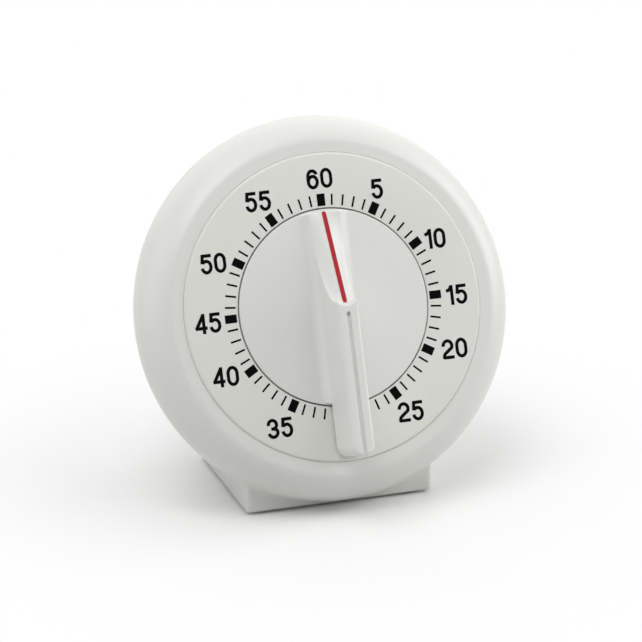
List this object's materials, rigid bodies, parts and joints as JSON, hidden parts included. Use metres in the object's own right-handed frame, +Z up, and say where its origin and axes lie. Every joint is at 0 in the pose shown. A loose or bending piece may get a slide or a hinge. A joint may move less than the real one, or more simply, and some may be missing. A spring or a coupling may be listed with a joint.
{
  "type": "mechanical timer",
  "caption": "Wind-up mechanical timer: a round leaning dial marked in minutes, with a turning fin-shaped knob and a red pointer, on a low foot block; the clockwork, bell and hammer are inside.",
  "frame": {"origin": "on the table, under the middle of the whole timer as seen from above, with the knob at zero", "axes": "+Z is up, -Y is the side that the dial faces, and +X is to the right of someone who reads the dial"},
  "size_m": [0.1024, 0.0754, 0.0985],
  "materials": {
    "white_plastic": "satin moulded white",
    "dial_white": "satin white with black printed marks",
    "red_plastic": "satin red",
    "foot_rubber": "matt black",
    "plated_steel": "zinc plated",
    "arbor_steel": "polished",
    "sheet_steel": "stamped",
    "spring_steel": "blued",
    "plate_brass": "stamped",
    "nickel": "nickel plated"
  },
  "bodies": {
    "case": {"front_case": "white_plastic", "rear_case": "white_plastic", "rubber_feet": "foot_rubber", "case_screws": "plated_steel", "dial_plate": "dial_white", "front_plate": "plate_brass", "rear_plate": "plate_brass", "plate_pillars": "plated_steel", "pillar_nuts": "plate_brass", "movement_screws": "plated_steel", "arbor_bush": "plate_brass", "trip_pivot": "plated_steel", "trip_spring": "spring_steel", "bell": "nickel", "bell_post": "plated_steel", "bell_screw": "plated_steel"},
    "knob_and_arbor": {"knob": "white_plastic", "pointer": "red_plastic", "main_arbor": "arbor_steel", "ratchet_wheel": "sheet_steel", "trip_cam": "sheet_steel", "mainspring": "spring_steel"},
    "main_wheel_set": {"main_wheel": "plate_brass", "click_rivet": "plated_steel", "click_spring": "spring_steel"},
    "click_pawl": {"click": "sheet_steel"},
    "second_set": {"second_pinion": "arbor_steel", "second_wheel": "plate_brass"},
    "third_set": {"third_pinion": "arbor_steel", "third_wheel": "plate_brass"},
    "escape_set": {"escape_pinion": "arbor_steel", "escape_wheel": "plate_brass"},
    "balance_set": {"pallet_arbor": "arbor_steel", "pallet_anchor": "sheet_steel", "pallet_pins": "arbor_steel", "balance_bar": "sheet_steel"},
    "alarm_barrel": {"spring_barrel": "plate_brass", "barrel_cover": "plate_brass"},
    "star_set": {"alarm_pinion": "arbor_steel", "star_wheel": "sheet_steel"},
    "hammer_set": {"hammer_arbor": "arbor_steel", "verge": "sheet_steel", "verge_pins": "arbor_steel", "hammer_stop": "sheet_steel", "hammer_arm": "sheet_steel", "hammer_head": "sheet_steel"},
    "trip_set": {"trip_lever": "sheet_steel"}
  },
  "joints": [
    {"name": "knob_turn", "type": "hinge", "parent": "case", "child": "knob_and_arbor", "pos_m": [0, -0.01129, 0.05444], "axis": [0, 0.9272, -0.3746], "range_deg": [0, 355]},
    {"name": "main_wheel_turn", "type": "hinge", "parent": "case", "child": "main_wheel_set", "pos_m": [0, -0.00155, 0.05051], "axis": [0, 0.9272, -0.3746], "range_deg": [0, 355]},
    {"name": "second_wheel_turn", "type": "hinge", "parent": "case", "child": "second_set", "pos_m": [-0.00539, -0.00821, 0.03723], "axis": [0, 0.9272, -0.3746], "range_deg": [-2130, 0]},
    {"name": "third_wheel_turn", "type": "hinge", "parent": "case", "child": "third_set", "pos_m": [-0.00249, -0.00966, 0.02615], "axis": [0, 0.9272, -0.3746], "range_deg": [0, 12780]},
    {"name": "escape_wheel_turn", "type": "hinge", "parent": "case", "child": "escape_set", "pos_m": [0.006, -0.0043, 0.02927], "axis": [0, 0.9272, -0.3746], "range_deg": [-76680, 0]},
    {"name": "click_lift", "type": "hinge", "parent": "main_wheel_set", "child": "click_pawl", "pos_m": [-0.00837, -0.00212, 0.04589], "axis": [0, -0.9272, 0.3746], "range_deg": [0, 8]},
    {"name": "pallet_swing", "type": "hinge", "parent": "case", "child": "balance_set", "pos_m": [0.01418, -0.00171, 0.03144], "axis": [0, -0.9272, 0.3746], "range_deg": [-6, 6]},
    {"name": "alarm_barrel_turn", "type": "hinge", "parent": "case", "child": "alarm_barrel", "pos_m": [0, 0.00735, 0.04691], "axis": [0, -0.9272, 0.3746], "continuous": true},
    {"name": "star_wheel_turn", "type": "hinge", "parent": "case", "child": "star_set", "pos_m": [0.008, 0.00253, 0.0638], "axis": [0, -0.9272, 0.3746], "continuous": true},
    {"name": "hammer_swing", "type": "hinge", "parent": "case", "child": "hammer_set", "pos_m": [0.00725, 0.02009, 0.0659], "axis": [0, 0.9272, -0.3746], "range_deg": [-3.6, 3.6]},
    {"name": "trip_lever_drop", "type": "hinge", "parent": "case", "child": "trip_set", "pos_m": [0.01711, 0.00316, 0.05495], "axis": [0, 0.9272, -0.3746], "range_deg": [0, 5]}
  ],
  "couplings": [
    {"joint": "main_wheel_turn", "follows": "knob_turn", "ratio": 1},
    {"joint": "second_wheel_turn", "follows": "knob_turn", "ratio": -6},
    {"joint": "third_wheel_turn", "follows": "knob_turn", "ratio": 36},
    {"joint": "escape_wheel_turn", "follows": "knob_turn", "ratio": -216},
    {"joint": "star_wheel_turn", "follows": "alarm_barrel_turn", "ratio": -7}
  ]
}
